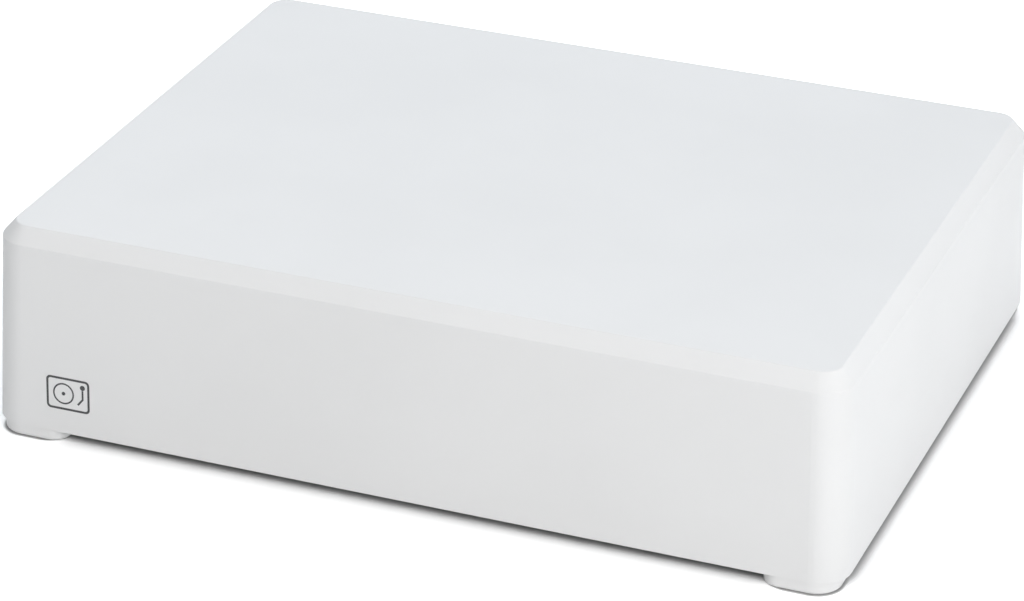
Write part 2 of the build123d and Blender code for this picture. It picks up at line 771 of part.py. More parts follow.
with BuildPart() as voltage_regulators:
    for step in (0, 1):
        spot_x = jack_x + (2.5 + 4 * step) * regulator_radius
        spot_y = board_rear_y - board_depth + 3 * regulator_radius
        with BuildSketch(Plane.XY.offset(board_top_z + regulator_rise)):
            with Locations((spot_x, spot_y)):
                Circle(regulator_radius)
            with Locations((spot_x, spot_y - regulator_flat)):
                Rectangle(2 * regulator_radius, regulator_radius, align=(Align.CENTER, Align.MAX),
                          mode=Mode.SUBTRACT)
        extrude(amount=regulator_height)
        with BuildSketch(Plane.XY.offset(board_top_z)):
            with Locations((spot_x, spot_y)):
                with GridLocations(lead_pitch, 0, 3, 1):
                    Rectangle(regulator_lead, regulator_lead)
        extrude(amount=regulator_rise)
save(voltage_regulators, "voltage_regulators")

with BuildPart() as filter_choke:
    turn_upright(
        [
            (0, 0), (choke_radius, 0), (choke_radius, choke_flange), (choke_waist, choke_flange),
            (choke_waist, choke_height - choke_flange), (choke_radius, choke_height - choke_flange),
            (choke_radius, choke_height), (0, choke_height),
        ],
        jack_x, supply_y - 2 * choke_radius,
    )
save(filter_choke, "filter_choke")

with BuildPart() as supply_diodes:
    chips(
        (diode_length, diode_width, diode_height),
        [(jack_x + choke_radius + step * 1.5 * diode_length, supply_y + 1.5 * diode_width, False) for step in (0, 1)],
    )
    chamfer(supply_diodes.edges().group_by(Axis.Z)[-1], length=diode_height / 8)
save(supply_diodes, "supply_diodes")

with BuildPart() as muting_transistors:
    mute_y = tail_y - 1.5 * transistor_width
    chips(
        (transistor_length, transistor_width, transistor_height),
        [(x, mute_y, False) for name, x in sockets.items() if name.startswith("output")],
    )
save(muting_transistors, "muting_transistors")

resistor_pitch = 2 * resistor_size[1]
with BuildPart() as chip_resistors:
    for amp_x in (input_centre_x, output_centre_x):
        chips(
            resistor_size,
            [
                (amp_x + side * (chip_length + column * 1.5 * resistor_size[0]), amp_y + row * resistor_pitch, False)
                for side in (-1, 1)
                for column in (0, 1)
                for row in (-1, 0, 1)
            ],
        )
save(chip_resistors, "chip_resistors")

with BuildPart() as chip_capacitors:
    for amp_x in (input_centre_x, output_centre_x):
        chips(
            ceramic_size,
            [(amp_x + column * lead_pitch * 2, amp_y - chip_width - ceramic_size[0] / 2, True) for column in (-1, 0, 1)],
        )
save(chip_capacitors, "chip_capacitors")
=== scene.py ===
# %% [markdown]
# # A phono preamp: a small white moulded box for a turntable
#
# A phono preamp takes the faint signal of a record player's cartridge and makes it loud enough for an
# amplifier. This one is a plain box moulded in white plastic, with a flat chamfer round its roof and a foot
# under each corner. Its sockets stand in a recess at the rear. The packed model brings every piece at its
# real size and place, in metres, and the cells below give it a camera, a studio, finishes and fine detail.

# %% Load the packed model
import json
from math import atan2, cos, pi, radians, sin, tan

import bmesh
import bpy
from mathutils import Matrix, Vector


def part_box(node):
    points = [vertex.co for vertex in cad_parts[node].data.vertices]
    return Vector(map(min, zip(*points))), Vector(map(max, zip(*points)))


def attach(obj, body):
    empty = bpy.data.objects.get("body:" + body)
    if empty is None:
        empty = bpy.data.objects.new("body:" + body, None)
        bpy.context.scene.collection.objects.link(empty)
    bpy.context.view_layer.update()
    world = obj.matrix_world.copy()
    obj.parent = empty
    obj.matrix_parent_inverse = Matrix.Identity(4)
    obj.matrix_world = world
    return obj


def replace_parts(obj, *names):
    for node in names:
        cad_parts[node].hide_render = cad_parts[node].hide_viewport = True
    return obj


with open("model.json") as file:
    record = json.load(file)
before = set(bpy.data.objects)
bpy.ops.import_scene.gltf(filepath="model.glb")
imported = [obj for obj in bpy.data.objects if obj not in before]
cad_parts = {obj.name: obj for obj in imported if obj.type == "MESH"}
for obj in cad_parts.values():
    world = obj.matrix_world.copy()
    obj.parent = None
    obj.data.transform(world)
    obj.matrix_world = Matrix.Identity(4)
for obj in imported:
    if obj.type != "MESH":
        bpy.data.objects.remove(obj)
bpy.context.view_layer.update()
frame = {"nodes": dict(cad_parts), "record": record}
nodes = frame["nodes"]
MM = 0.001

# %% [markdown]
# ## The view
#
# A camera can be placed by eye, by a constraint that tracks an empty, or from worked-out angles. Angles are
# used here because a long lens makes the box's edges nearly parallel, and half a degree shows in them. Yaw
# turns the camera round the box, pitch looks down on it, and roll tips the frame.

# %% Place the camera
FRAME_WIDTH = 1024
CASE_CENTRE_Y = -1.8 * MM
VIEW_FROM = Vector((196.79, -520.04, 285.82)) * MM
VIEW_YAW, VIEW_PITCH, VIEW_ROLL = radians(20.98), radians(26.30), radians(0.70)
FOCAL_PIXELS = 3961.5
SENSOR = 36.0

forward = Vector((-sin(VIEW_YAW) * cos(VIEW_PITCH), cos(VIEW_YAW) * cos(VIEW_PITCH), -sin(VIEW_PITCH)))
level = Vector((cos(VIEW_YAW), sin(VIEW_YAW), 0))
lifted = level.cross(forward)
right = level * cos(VIEW_ROLL) + lifted * sin(VIEW_ROLL)
up = lifted * cos(VIEW_ROLL) - level * sin(VIEW_ROLL)

lens = bpy.data.cameras.new("long_lens")
lens.sensor_width = SENSOR
lens.lens = FOCAL_PIXELS / FRAME_WIDTH * SENSOR
camera = bpy.data.objects.new("camera", lens)
place = VIEW_FROM + Vector((0, CASE_CENTRE_Y, 0))
camera.matrix_world = Matrix.Translation(place) @ Matrix((right, up, -forward)).transposed().to_4x4()
bpy.context.scene.collection.objects.link(camera)
bpy.context.scene.camera = camera
print(f"camera {place.length:.2f} m from the box, lens {lens.lens:.0f} mm")

# %% [markdown]
# ## Shader values as Python expressions
#
# A material is a graph of nodes. Wiring each node by hand hides the arithmetic, so one small class stands
# for a socket and lets Python's own operators add the Math nodes. Numbers alone are still worked out in
# Python. Every other node comes from `add`, which sets a node's options first and its sockets after.

# %% A socket that can be added, scaled and mixed
class Shade:
    """One value of a material: an output socket, with operators that add Math nodes."""

    def __init__(self, tree, socket):
        self.tree, self.socket = tree, socket

    @staticmethod
    def add(tree, kind, options=None, sockets=None, out=0):
        """Add a node of a type, with its options and the values or links of its sockets."""
        node = tree.nodes.new("ShaderNode" + kind)
        for name, value in (options or {}).items():
            setattr(node, name, value)
        for name, value in (sockets or {}).items():
            if isinstance(value, Shade):
                tree.links.new(value.socket, node.inputs[name])
            else:
                node.inputs[name].default_value = value
        return Shade(tree, node.outputs[out]) if node.outputs else node

    def maths(self, operation, *values):
        """A Math node on any mix of sockets and numbers."""
        return Shade.add(self.tree, "Math", {"operation": operation}, dict(enumerate(values)))

    def __add__(self, other):
        return self.maths("ADD", self, other)

    def __sub__(self, other):
        return self.maths("SUBTRACT", self, other)

    def __rsub__(self, other):
        return self.maths("SUBTRACT", other, self)

    def __mul__(self, other):
        return self.maths("MULTIPLY", self, other)

    __radd__, __rmul__ = __add__, __mul__

    def mix(self, low, high):
        """A colour between two others, with this value as the share of the second.

        A Mix node keeps its colours in inputs 6 and 7, and gives the mixed one at output 2.
        """
        first, second = (tuple(c) + (1,) if isinstance(c, tuple) else c for c in (low, high))
        return Shade.add(self.tree, "Mix", {"data_type": "RGBA"}, {0: self, 6: first, 7: second}, 2)

    def between(self, low, high):
        """1 where this value passes high, 0 below low, and an even rise between them."""
        return Shade.add(self.tree, "MapRange", {"interpolation_type": "SMOOTHSTEP"},
                         {"Value": self, "From Min": low, "From Max": high})


print("operators:", [name for name in vars(Shade) if name.startswith("__r") and name != "__repr__"])

# %% [markdown]
# ## The white room
#
# The world round a product shot can be a picture of a studio, a plain colour, or a rule for each direction.
# A rule is used here, because the world has two jobs that Light Path keeps apart: rays from the camera, from
# glossy surfaces and through clear ones see white, and rays that light the box see a calmer grey. That grey
# is a little brighter on the right and behind. Pale plastic keeps its shape that way and doesn't bleach.

# %% Fill the room with light
FILL_LIGHT, FILL_RIGHT, FILL_BEHIND = 0.06, 0.24, 0.13


def is_ray(tree, kind):
    """1 for rays of a kind, such as those from the camera, and 0 for the rest."""
    return Shade.add(tree, "LightPath", out=f"Is {kind} Ray")


world = bpy.data.worlds.new("white_room")
bpy.context.scene.world = world
world.use_nodes = True
sky = world.node_tree
sky.nodes.clear()
seen = (is_ray(sky, "Camera") + is_ray(sky, "Glossy") + is_ray(sky, "Transmission")).between(0, 1)
towards = Shade.add(sky, "TexCoord", out="Generated")
to_right, to_back = (
    Shade.add(sky, "SeparateXYZ", None, {"Vector": towards}, axis).between(-1, 1) for axis in "XY")
fill = to_right * FILL_RIGHT + to_back * FILL_BEHIND + FILL_LIGHT
strength = seen + (1 - seen) * fill
background = Shade.add(sky, "Background", None, {"Color": (1, 1, 1, 1), "Strength": strength})
Shade.add(sky, "OutputWorld", None, {"Surface": background})
print("fill", FILL_LIGHT, "to", round(FILL_LIGHT + FILL_RIGHT + FILL_BEHIND, 2))

# %% [markdown]
# ## The lamps
#
# One strong lamp would give the box a hard bright side. Seven broad ones share the work: two overhead, two
# windows at the right front, a long one behind that gives the roof its sheen, and two small ones placed
# where the chamfers mirror them. The windows light the box but aren't mirrored in it, as with a polarising
# sheet on a real lamp, because the roof would bleach when it is seen from behind.

# %% Hang the lamps
COOL, PLAIN = (0.92, 1.0, 1.08), (1.0, 1.0, 1.0)
LAMPS = [  # name, place, aim, width and height in metres, watts, colour
    ("overhead_left", (-0.4, 0.4, 0.8), (0, 0, 0), 0.6, 0.6, 2.1, COOL),
    ("overhead_front", (0, -0.5, 0.9), (0, 0, 0), 0.6, 0.6, 1.4, PLAIN),
    ("window", (0.75, -0.75, 0.4), (0, 0, 0.02), 0.9, 0.7, 1.5, PLAIN),
    ("close_window", (0.4, -0.4, 0.2), (0.03, -0.03, 0.02), 0.6, 0.36, 1.2, PLAIN),
    ("behind", (0.05, 1.0, 0.42), (0, 0, 0.02), 2.2, 0.7, 5.0, COOL),
    ("front_chamfer", (-0.35, -0.65, 0.82), (0, 0, 0.02), 0.45, 0.45, 1.65, PLAIN),
    ("corner_chamfer", (0.72, -0.15, 0.79), (0, 0, 0.02), 0.3, 0.3, 1.4, PLAIN),
]
for name, place, aim, width, height, watts, colour in LAMPS:
    light = bpy.data.lights.new(name, "AREA")
    light.shape, light.size, light.size_y = "RECTANGLE", width, height
    light.energy, light.color = watts, colour
    lamp = bpy.data.objects.new(name, light)
    lamp.location = place
    lamp.visible_glossy = "window" not in name
    lamp.rotation_euler = (Vector(aim) - Vector(place)).to_track_quat("-Z", "Y").to_euler()
    bpy.context.scene.collection.objects.link(lamp)
bpy.context.scene.view_settings.view_transform = "Standard"
print(len(LAMPS), "lamps,", round(sum(lamp[5] for lamp in LAMPS), 1), "W together")

# %% [markdown]
# ## The paper
#
# The floor is one large sheet. The light that slips under the walls would wash out the thin dark line there,
# so a painted shadow greys the paper under the box, with an edge as soft as a real shadow's. Further
# out the paper is paler than any paper, and then it glows plain white for the camera, which hides where it
# ends. A picture could be laid on the paper for this. Here each tone comes from how far a point lies from a
# rounded rectangle: that is the length of what is left of the point's place once half the rectangle is
# taken from it, with nothing below zero kept.

# %% Measure how far a place is from a box
def new_material(name):
    """An empty material and its node tree."""
    made = bpy.data.materials.new(name)
    made.use_nodes = True
    made.node_tree.nodes.clear()
    return made, made.node_tree


def vector_maths(tree, operation, *values, out="Vector"):
    """A Vector Math node; a length comes from its other output, Value."""
    return Shade.add(tree, "VectorMath", {"operation": operation}, dict(enumerate(values)), out)


def from_box(tree, place, half_size, corner):
    """How far a place lies outside a rounded box round zero."""
    inner = half_size - Vector((corner, corner, 0))
    outside = vector_maths(tree, "SUBTRACT", vector_maths(tree, "ABSOLUTE", place), inner)
    beyond = vector_maths(tree, "MAXIMUM", outside, (0, 0, 0))
    return vector_maths(tree, "LENGTH", beyond, out="Value") - corner


case_low, case_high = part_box("top_cover")
half_case = Vector((case_high[0] - case_low[0], case_high[1] - case_low[1], 0)) / 2
case_middle = Vector((case_low[0] + case_high[0], case_low[1] + case_high[1], 0)) / 2
print("the case covers", [round(2 * v / MM, 1) for v in half_case[:2]], "mm of paper")

# %% [markdown]
# Two painted shadows are drawn in this way: a soft dark patch under the case, and a thin dark line that hugs
# each foot. The feet stand at the four corners, so a place's distance from its nearest corner serves all
# four.
# Rays that carry the paper's light up to the box see one calm white, so that none of this tints the walls.

# %% Lay the paper
PAPER_WIDTH = 8.0
NEAR_PAPER, FAR_PAPER = 6 * MM, 30 * MM
GLOW_FROM, GLOW_FULL = 70 * MM, 200 * MM
# The painted shadow under the case: how far it sits inside the footprint, how soft its edge is, and its grey.
SHADOW_INSET = Vector((1.35, 3.1, 0)) * MM
SHADOW_BLUR = 2.4 * MM
SHADOW_GREY, BESIDE_WHITE, FAR_WHITE, CALM_WHITE = 0.3, 1.35, 1.9, 0.8
# The painted shadow line round each foot: the foot's outline on the paper, the line's width and its grey.
FOOT_SIZE = Vector((11.2, 9.0, 0)) * MM
FOOT_INSET = Vector((1.0, 0.1, 0)) * MM
CASE_CORNER, FOOT_CORNER = 5.0 * MM, 4.0 * MM
FOOT_SHADOW_WIDTH, FOOT_SHADOW_GREY = 0.7 * MM, 0.35


def grey(level):
    """A colour without a hue."""
    return (level,) * 3


bpy.ops.mesh.primitive_plane_add(size=PAPER_WIDTH)
paper = bpy.context.object
paper.name = "paper_floor"

paper_white, tree = new_material("paper_white")
direct = is_ray(tree, "Camera") + is_ray(tree, "Glossy")
where = vector_maths(tree, "SUBTRACT", Shade.add(tree, "TexCoord", out="Object"), case_middle)
distance = from_box(tree, where, half_case - SHADOW_INSET, CASE_CORNER)
from_corner = vector_maths(tree, "SUBTRACT", vector_maths(tree, "ABSOLUTE", where),
                           half_case - FOOT_INSET - FOOT_SIZE / 2)
foot = from_box(tree, from_corner, FOOT_SIZE / 2, FOOT_CORNER)
# Painted shadow: the paper turns grey towards the middle of the case's footprint, set by distance, not by the
# lamps.
beside = distance.between(0, SHADOW_BLUR).mix(grey(SHADOW_GREY), grey(BESIDE_WHITE))
# Painted shadow: a thin grey line on the paper hugs each foot's outline.
beside = foot.between(0, FOOT_SHADOW_WIDTH).mix(grey(FOOT_SHADOW_GREY), beside)
tone = distance.between(NEAR_PAPER, FAR_PAPER).mix(beside, grey(FAR_WHITE))
shown = Shade.add(tree, "BsdfDiffuse", None, {"Color": tone})
lit = Shade.add(tree, "BsdfDiffuse", None, {"Color": (*grey(CALM_WHITE), 1)})
near = Shade.add(tree, "MixShader", None, {0: direct.between(0, 1), 1: lit, 2: shown})
glow = Shade.add(tree, "Emission", None, {"Color": (1, 1, 1, 1), "Strength": 1.0})
far = distance.between(GLOW_FROM, GLOW_FULL) * direct
whole = Shade.add(tree, "MixShader", None, {0: far, 1: near, 2: glow})
Shade.add(tree, "OutputMaterial", None, {"Surface": whole})
paper.data.materials.append(paper_white)
print("paper", PAPER_WIDTH, "m wide, plain white from", round(GLOW_FULL / MM), "mm out")

# %% [markdown]
# ## Finishes
#
# A moulded plastic isn't one flat colour: it drifts a little from place to place and carries the fine grain
# of the mould. A plated metal has faint clouds in its shine. Image textures would need a picture file and
# an unwrapped mesh, and noise needs neither, so two recipes make all the finishes, each from a slow noise
# for the drift and a fast one for the grain. Both noises take a point's place on the object, in metres.

# %% Write the two recipes
PLASTIC_DRIFT, METAL_DRIFT = 28.0, 90.0
DRIFT_DETAIL, GRAIN_DETAIL = 3.0, 2.0
DRIFT_LOW, DRIFT_HIGH = 0.3, 0.7
PLASTIC_GRAIN_DEPTH, METAL_GRAIN_DEPTH, METAL_STRENGTH = 0.03 * MM, 0.02 * MM, 0.02
ROUGH_GRAIN, ROUGH_CLOUD = 0.08, 0.1


def drift_and_grain(name, drift, grain):
    """A new material, its tree, a slow noise and a fast one."""
    made, tree = new_material(name)
    where = Shade.add(tree, "TexCoord", out="Object")
    cloud = Shade.add(tree, "TexNoise", None, {"Vector": where, "Scale": drift, "Detail": DRIFT_DETAIL})
    speck = Shade.add(tree, "TexNoise", None, {"Vector": where, "Scale": grain, "Detail": GRAIN_DETAIL})
    return made, tree, cloud, speck


def plastic(name, low, high, rough, grain, strength, shine=0.5):
    """Moulded plastic: a colour that drifts a little, and the fine texture of the mould."""
    made, tree, cloud, speck = drift_and_grain(name, PLASTIC_DRIFT, grain)
    bump = Shade.add(tree, "Bump", None, {
        "Strength": strength, "Distance": PLASTIC_GRAIN_DEPTH, "Height": speck})
    skin = Shade.add(tree, "BsdfPrincipled", None, {
        "Base Color": cloud.between(DRIFT_LOW, DRIFT_HIGH).mix(low, high),
        "Roughness": speck * ROUGH_GRAIN + (rough - ROUGH_GRAIN / 2),
        "Specular IOR Level": shine,
        "Normal": bump,
    })
    Shade.add(tree, "OutputMaterial", None, {"Surface": skin})
    return made


def metal(name, low, high, rough, grain):
    """Plated or bare metal: a colour and a shine that cloud over a little."""
    made, tree, cloud, speck = drift_and_grain(name, METAL_DRIFT, grain)
    bump = Shade.add(tree, "Bump", None, {
        "Strength": METAL_STRENGTH, "Distance": METAL_GRAIN_DEPTH, "Height": speck})
    skin = Shade.add(tree, "BsdfPrincipled", None, {
        "Base Color": cloud.between(DRIFT_LOW, DRIFT_HIGH).mix(low, high),
        "Roughness": cloud * ROUGH_CLOUD + (rough - ROUGH_CLOUD / 2),
        "Metallic": 1.0,
        "Normal": bump,
    })
    Shade.add(tree, "OutputMaterial", None, {"Surface": skin})
    return made


print("a plastic's colour drifts over about", round(1 / PLASTIC_DRIFT / MM), "mm")

# %% [markdown]
# The case's mould is etched, so its white is matter than the sockets' black and has less shine. Each finish
# is a row of numbers, and each node of the model names the finish that it takes.

# %% Hand out the finishes
PLASTICS = {  # the two colours that it drifts between, roughness, grains to a metre, strength and shine
    "case_plastic": ((0.80, 0.802, 0.803), (0.82, 0.822, 0.823), 0.52, 5000, 0.15, 0.25),
    "socket_black": ((0.018, 0.018, 0.02), (0.028, 0.028, 0.03), 0.35, 4000, 0.2),
    "insert_white": ((0.80, 0.79, 0.75), (0.84, 0.83, 0.80), 0.35, 4000, 0.2),
    "insert_red": ((0.50, 0.012, 0.012), (0.58, 0.02, 0.018), 0.35, 4000, 0.2),
    "board_laminate": ((0.015, 0.10, 0.04), (0.025, 0.14, 0.06), 0.35, 3000, 0.2),
    "capacitor_sleeve": ((0.02, 0.02, 0.04), (0.04, 0.04, 0.06), 0.3, 3000, 0.2),
    "film_box": ((0.42, 0.03, 0.025), (0.48, 0.05, 0.035), 0.35, 3000, 0.2),
    "chip_black": ((0.02, 0.02, 0.02), (0.035, 0.035, 0.035), 0.6, 3000, 0.4),
    "ferrite": ((0.05, 0.045, 0.04), (0.07, 0.065, 0.06), 0.6, 3000, 0.4),
    "ceramic": ((0.48, 0.36, 0.24), (0.54, 0.42, 0.3), 0.55, 3000, 0.3),
}
METALS = {  # the two colours, roughness and grains to a metre
    "nickel_plate": ((0.55, 0.537, 0.514), (0.63, 0.616, 0.59), 0.22, 3000),
    "brass_strip": ((0.72, 0.52, 0.22), (0.80, 0.60, 0.28), 0.3, 3000),
    "screw_steel": ((0.45, 0.45, 0.46), (0.58, 0.58, 0.6), 0.32, 3000),
}
finishes = {name: plastic(name, *values) for name, values in PLASTICS.items()}
finishes |= {name: metal(name, *values) for name, values in METALS.items()}
slots = {entry["node"]: entry["material_slot"] for entry in frame["record"]["subparts"]}
for node, slot in slots.items():
    mesh = nodes[node].data
    mesh.materials.clear()
    mesh.materials.append(finishes[slot])
print(len(finishes), "finishes on", len(nodes), "nodes")

# %% [markdown]
# ## Skins of hoops
#
# Nearly every small part of the box is turned: screws, nuts, shells and washers all have an axis. Blender
# could spin a profile or cut one cylinder with another. Here the skins are built as hoops of points joined
# with quads, which stays closed and clean, and leaves room for what a lathe can't do, such as a thread, a
# hexagon, a knurl or a cross in a screw's head.

# %% Join hoops of points into a skin
SHARP_EDGE = radians(32)


def finish_piece(form, name, finish, body="case"):
    """Turn a bmesh into a piece with its finish, smooth but for its sharp edges, riding on a body."""
    bmesh.ops.recalc_face_normals(form, faces=form.faces)
    for edge in form.edges:
        edge.smooth = edge.calc_face_angle(0) < SHARP_EDGE
    for face in form.faces:
        face.smooth = True
    mesh = bpy.data.meshes.new(name)
    form.to_mesh(mesh)
    form.free()
    made = bpy.data.objects.new(name, mesh)
    bpy.context.scene.collection.objects.link(made)
    mesh.materials.append(finishes[finish])
    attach(made, body)
    finish in slots.values()
    return made


def add_skin(form, hoops, place, closed=False):
    """Join hoops of local points with quads; the last meets the first, or both ends are capped."""
    rows = [[form.verts.new(place @ Vector(point)) for point in hoop] for hoop in hoops]
    count = len(rows[0])
    for one, two in list(zip(rows, rows[1:])) + ([(rows[-1], rows[0])] if closed else []):
        for i in range(count):
            j = (i + 1) % count
            form.faces.new((one[i], one[j], two[j], two[i]))
    for row in [] if closed else [rows[0], rows[-1]]:
        middle = form.verts.new(sum((v.co for v in row), Vector()) / count)
        for i in range(count):
            form.faces.new((row[i], row[(i + 1) % count], middle))


def hoop(radius, height, turns):
    """Points at the given angles; the radius and the height may each be a number or a rule for the angle."""
    points = []
    for turn in turns:
        r = radius(turn) if callable(radius) else radius
        h = height(turn) if callable(height) else height
        points.append((r * cos(turn), r * sin(turn), h))
    return points


def circle(count):
    """Even angles round an axis."""
    return [2 * pi * i / count for i in range(count)]


print("a hoop of 4 points:", [tuple(round(v, 1) for v in point) for point in hoop(1, 0, circle(4))])

# %% [markdown]
# A turned profile with bare corners looks like paper cut to shape, because a real edge is always a little
# round and catches light. Blender's Bevel modifier would round every edge alike. Here each corner of a
# profile states its own rounding, and an arc is put in its place.

# %% Round a profile and face it to the rear
ARC_STEPS = 4


def rounded(corners):
    """A closed profile of (radius, height, rounding) corners, with an arc at each rounding."""
    points = []
    for i, (r, h, size) in enumerate(corners):
        corner = Vector((r, h))
        back = (Vector(corners[i - 1][:2]) - corner).normalized()
        ahead = (Vector(corners[(i + 1) % len(corners)][:2]) - corner).normalized()
        if not size:
            points.append(corner)
            continue
        half = back.angle(ahead) / 2
        centre = corner + (back + ahead).normalized() * size / sin(half)
        start = corner + back * size / tan(half) - centre
        stop = corner + ahead * size / tan(half) - centre
        points += [centre + start.slerp(stop, k / ARC_STEPS) * size for k in range(ARC_STEPS + 1)]
    return points


def facing_rear(x, y, z):
    """The place of a part whose axis points to the rear."""
    return Matrix.Translation((x, y, z)) @ Matrix.Rotation(-pi / 2, 4, "X")


def rear_axis(node):
    """The middle of a round solid on a rear axis: x, z, its front end, its rear end and its radius."""
    low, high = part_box(node)
    return (low[0] + high[0]) / 2, (low[2] + high[2]) / 2, low[1], high[1], (high[0] - low[0]) / 2


print("a rounded square has", len(rounded([(0, 0, 0.1), (1, 0, 0.1), (1, 1, 0.1), (0, 1, 0.1)])), "points")

# %% [markdown]
# ## The phono sockets
#
# Each socket is a thin shell of nickelled brass with a flange against the panel, round a plastic insert that
# is white for left and red for right, with the brass contact deep in its mouth. The shells are rolled from
# strip, so their lip and flange are round, and light runs along them. They are turned from a closed profile
# with an arc at each corner.

# %% Turn the socket shells and inserts
BARREL_RADIUS, SHELL_WALL = 4.15 * MM, 0.35 * MM
FLANGE_RADIUS, FLANGE_THICKNESS = 5.0 * MM, 0.6 * MM
LIP_ROUND, NECK_ROUND, FLANGE_FRONT_ROUND, FLANGE_BACK_ROUND = 0.16 * MM, 0.2 * MM, 0.12 * MM, 0.25 * MM
POCKET_RADIUS, MOUTH_RADIUS, MOUTH_DEPTH = 2.2 * MM, 1.9 * MM, 1.0 * MM
ROOT_ROUND, RIM_ROUND, MOUTH_ROUND = 0.1 * MM, 0.25 * MM, 0.35 * MM
SHELL_TURNS = circle(96)
SOCKETS = ("input_left", "input_right", "output_left", "output_right")

for name in SOCKETS:
    x, z, face, tip, _ = rear_axis(f"{name}_barrel")
    shell = rounded([
        (BARREL_RADIUS - SHELL_WALL, face, 0.0),
        (FLANGE_RADIUS, face, FLANGE_FRONT_ROUND),
        (FLANGE_RADIUS, face + FLANGE_THICKNESS, FLANGE_BACK_ROUND),
        (BARREL_RADIUS, face + FLANGE_THICKNESS, NECK_ROUND),
        (BARREL_RADIUS, tip, LIP_ROUND),
        (BARREL_RADIUS - SHELL_WALL, tip, LIP_ROUND),
    ])
    form = bmesh.new()
    add_skin(form, [hoop(r, h, SHELL_TURNS) for r, h in shell], facing_rear(x, 0, z), closed=True)
    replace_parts(finish_piece(form, f"{name}_shell", "nickel_plate"), f"{name}_barrel")

    x, z, root, mouth, radius = rear_axis(f"{name}_insert")
    filling = rounded([
        (POCKET_RADIUS, root, 0.0),
        (radius, root, ROOT_ROUND),
        (radius, mouth, RIM_ROUND),
        (MOUTH_RADIUS, mouth, MOUTH_ROUND),
        (MOUTH_RADIUS, mouth - MOUTH_DEPTH, 0.0),
        (POCKET_RADIUS, mouth - MOUTH_DEPTH, 0.0),
    ])
    form = bmesh.new()
    add_skin(form, [hoop(r, h, SHELL_TURNS) for r, h in filling], facing_rear(x, 0, z), closed=True)
    slot = "insert_white" if name.endswith("left") else "insert_red"
    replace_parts(finish_piece(form, f"{name}_filling", slot), f"{name}_insert")
print(len(SOCKETS), "sockets,", round((tip - face) / MM, 1), "mm deep")

# %% [markdown]
# ## Screws
#
# Two kinds of screw show. Pan heads hold the socket bodies to the panel, and flat heads sunk in the base
# hold the case together. Both have a cross for the driver. A boolean could punch the cross and leave ragged
# faces. A cross seen from its middle has one distance for each angle, so it can be a hoop like any other:
# the head's rings narrow to the cross, and the cross sinks to a smaller one.

# %% Cut a cross
CROSS_STEPS = 48
TINY = 1e-6


def cross_turns(half_width, arm):
    """Even angles round a head, with the corners of the cross's arms put in."""
    corner = atan2(half_width, arm)
    corners = [(k * pi / 2 + side * corner) % (2 * pi) for k in range(4) for side in (-1, 1)]
    return sorted(set(circle(CROSS_STEPS)) | set(corners))


def cross_edge(half_width, arm):
    """The distance from the middle to the edge of a cross, for an angle."""
    def distance(turn):
        across, along = sorted((abs(sin(turn)), abs(cos(turn))))
        return min(arm / along, half_width / across if across > TINY else arm)
    return distance


print("a head's hoop has", len(cross_turns(1, 4)), "points")

# %% [markdown]
# A thread is a ridge that climbs round the shank. It could be swept along a helix and joined on, and the
# joints are hard to keep closed. Here the shank's own hoops swell and shrink: at any height the radius is a
# wave of the angle, and the wave turns once for each pitch. It fades out at both ends, as a cut thread does.

# %% Wind a thread and put a screw together
THREAD_STEPS = 10
CROSS_BEVEL, BEVEL_DEPTH = 1.06, 0.04 * MM
FLOOR_WIDTH, FLOOR_ARM = 0.6, 0.45  # the cross's floor, as a share of its mouth


def thread_hoops(low, high, root, crest, pitch, turns):
    """Hoops from low to high whose radius rises and falls along a helix and narrows at both ends."""
    hoops = []
    count = max(2, round((high - low) / pitch * THREAD_STEPS))
    for i in range(count + 1):
        height = low + (high - low) * i / count
        end = min(1.0, (height - low) / pitch, (high - height) / pitch)

        def radius(turn, height=height, end=end):
            wave = 0.5 + 0.5 * cos(2 * pi * height / pitch - turn)
            return root + (crest - root) * wave * end
        hoops.append(hoop(radius, height, turns))
    return hoops


def screw_hoops(head, length, root, crest, pitch, half_width, arm, depth):
    """A whole screw: its threaded shank, the (radius, height) rings of its head, and the cross in it."""
    turns = cross_turns(half_width, arm)
    top = head[-1][1]
    shank = thread_hoops(head[0][1] - length, head[0][1], root, crest, pitch, turns)
    mouth = cross_edge(half_width, arm)
    floor = cross_edge(half_width * FLOOR_WIDTH, arm * FLOOR_ARM)
    return shank + [hoop(r, h, turns) for r, h in head] + [
        hoop(lambda turn: mouth(turn) * CROSS_BEVEL, top, turns),
        hoop(mouth, top - BEVEL_DEPTH, turns),
        hoop(floor, top - depth, turns),
    ]


print(THREAD_STEPS, "hoops to each turn of a thread")

# %% [markdown]
# The head of each screw is a short list of rings, from the shank outwards and up to the edge of the cross.
# The pan head is domed and sits on the panel. The flat head is a cone whose face lies level with the base.
# Identical screws share one mesh, since the packed model keeps them in one node.

# %% Drive the screws
PAN_RADIUS, PAN_HEIGHT = 2.4 * MM, 1.5 * MM
PAN_RINGS = [  # radius and height in mm
    (2.1, 0.0), (2.34, 0.04), (2.4, 0.16), (2.4, 0.5), (2.34, 0.72), (2.16, 0.93), (1.9, 1.08),
    (1.6, 1.2), (1.3, 1.27),
]
PAN_THREAD = {"root": 0.95 * MM, "crest": 1.24 * MM, "pitch": 0.95 * MM}
PAN_CROSS = {"half_width": 0.26 * MM, "arm": 1.15 * MM, "depth": 1.0 * MM}
SUNK_RADIUS, SUNK_DEPTH = 2.8 * MM, 1.3 * MM
SUNK_RINGS = [(1.5, -1.3), (2.72, -0.08), (2.78, -0.02), (2.7, 0.0)]
SUNK_THREAD = {"root": 1.1 * MM, "crest": 1.49 * MM, "pitch": 1.2 * MM}
SUNK_CROSS = {"half_width": 0.3 * MM, "arm": 1.35 * MM, "depth": 1.1 * MM}


def in_metres(rings):
    """Rings given in mm, in metres."""
    return [(r * MM, h * MM) for r, h in rings]


